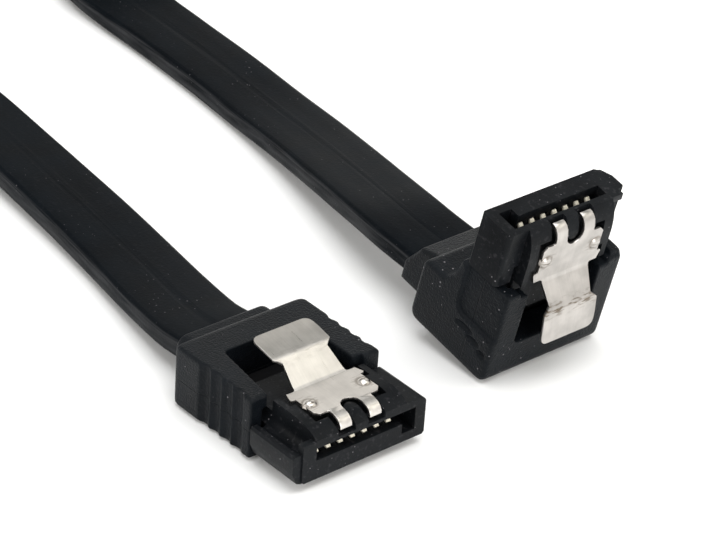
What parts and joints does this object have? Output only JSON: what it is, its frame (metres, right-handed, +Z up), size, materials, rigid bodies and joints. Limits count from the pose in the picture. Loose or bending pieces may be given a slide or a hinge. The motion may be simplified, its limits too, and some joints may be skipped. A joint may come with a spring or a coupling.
{
  "type": "sata data cable",
  "caption": "Flat black data cable with a straight plug and a right-angle plug, each with a sprung steel latch; the spare length is coiled and tied.",
  "frame": {"origin": "a point on the flat underside of the straight plug's overmould, 10.7 mm behind its mouth", "axes": "+X is the way the straight plug is pushed home, +Y along its row of contacts towards the key leg and the other plug, +Z up from the surface it lies on"},
  "size_m": [0.1765, 0.0782, 0.0176],
  "materials": {
    "housing_plastic": "satin moulded, black",
    "overmould_plastic": "fine matte moulded, black",
    "block_plastic": "matte, black",
    "jacket": "satin extruded, black",
    "latch_steel": "satin rolled",
    "contact_plating": "gold plated",
    "tie_fabric": "woven hook and loop"
  },
  "bodies": {
    "root": {"straight_housing": "housing_plastic", "straight_contact_1": "contact_plating", "straight_contact_2": "contact_plating", "straight_contact_3": "contact_plating", "straight_contact_4": "contact_plating", "straight_contact_5": "contact_plating", "straight_contact_6": "contact_plating", "straight_contact_7": "contact_plating", "straight_wire_block": "block_plastic", "straight_overmould": "overmould_plastic", "angled_housing": "housing_plastic", "angled_contact_1": "contact_plating", "angled_contact_2": "contact_plating", "angled_contact_3": "contact_plating", "angled_contact_4": "contact_plating", "angled_contact_5": "contact_plating", "angled_contact_6": "contact_plating", "angled_contact_7": "contact_plating", "angled_wire_block": "block_plastic", "angled_overmould": "overmould_plastic", "cable_straight_leg": "jacket", "cable_angled_leg": "jacket", "cable_coil": "jacket", "coil_tie": "tie_fabric"},
    "straight_latch_body": {"straight_latch": "latch_steel"},
    "angled_latch_body": {"angled_latch": "latch_steel"}
  },
  "joints": [
    {"name": "straight_latch_press", "type": "hinge", "parent": "root", "child": "straight_latch_body", "pos_m": [0.01013, 0, 0.0044], "axis": [0, -1, 0], "range_deg": [0, 4], "stiffness_Nm_per_rad": 0.02},
    {"name": "angled_latch_press", "type": "hinge", "parent": "root", "child": "angled_latch_body", "pos_m": [0.00913, 0.02313, 0.01469], "axis": [0, 1, 0], "range_deg": [0, 4], "stiffness_Nm_per_rad": 0.02}
  ]
}
